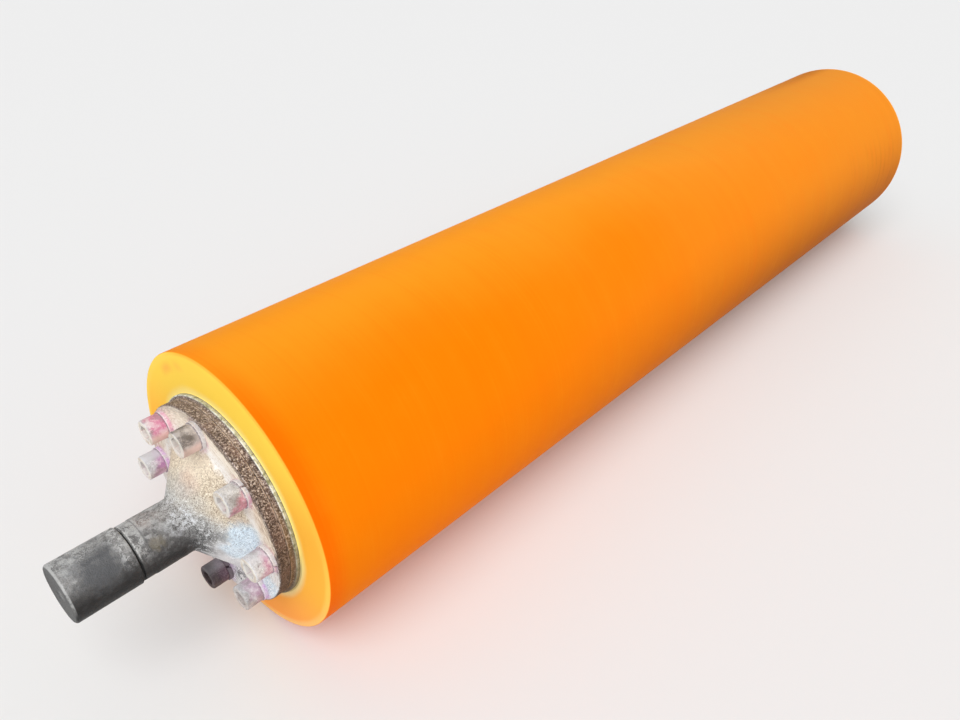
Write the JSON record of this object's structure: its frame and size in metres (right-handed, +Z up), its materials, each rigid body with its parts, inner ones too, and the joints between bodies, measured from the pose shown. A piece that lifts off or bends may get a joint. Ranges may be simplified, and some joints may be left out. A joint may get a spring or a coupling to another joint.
{
  "type": "polyurethane roller",
  "caption": "Steel roller core under a thick cast polyurethane cover, with a flanged journal bolted to each end to turn in bearings and feed or carry material.",
  "frame": {"origin": "middle of the roller, on its turning axis", "axes": "+X along the turning axis, from the near end that the picture shows to the far end; +Z up"},
  "size_m": [1.198, 0.21, 0.21],
  "materials": {
    "polyurethane": "satin cast elastomer, ground on the outside",
    "core_steel": "machined, oiled",
    "weld_metal": "turned flush",
    "journal_steel": "weathered, stained and scuffed",
    "screw_steel": "dull zinc with marker stains",
    "washer_steel": "dull zinc"
  },
  "bodies": {
    "root": {"polyurethane_cover": "polyurethane", "core_tube": "core_steel", "near_end_disc": "core_steel", "near_end_weld": "weld_metal", "near_journal": "journal_steel", "near_cap_screw_1": "screw_steel", "near_lock_washer_1": "washer_steel", "near_cap_screw_2": "screw_steel", "near_lock_washer_2": "washer_steel", "near_cap_screw_3": "screw_steel", "near_lock_washer_3": "washer_steel", "near_cap_screw_4": "screw_steel", "near_lock_washer_4": "washer_steel", "near_cap_screw_5": "screw_steel", "near_lock_washer_5": "washer_steel", "near_cap_screw_6": "screw_steel", "near_lock_washer_6": "washer_steel", "near_cap_screw_7": "screw_steel", "near_lock_washer_7": "washer_steel", "near_cap_screw_8": "screw_steel", "near_lock_washer_8": "washer_steel", "far_end_disc": "core_steel", "far_end_weld": "weld_metal", "far_journal": "journal_steel", "far_cap_screw_1": "screw_steel", "far_lock_washer_1": "washer_steel", "far_cap_screw_2": "screw_steel", "far_lock_washer_2": "washer_steel", "far_cap_screw_3": "screw_steel", "far_lock_washer_3": "washer_steel", "far_cap_screw_4": "screw_steel", "far_lock_washer_4": "washer_steel", "far_cap_screw_5": "screw_steel", "far_lock_washer_5": "washer_steel", "far_cap_screw_6": "screw_steel", "far_lock_washer_6": "washer_steel", "far_cap_screw_7": "screw_steel", "far_lock_washer_7": "washer_steel", "far_cap_screw_8": "screw_steel", "far_lock_washer_8": "washer_steel"}
  },
  "joints": []
}
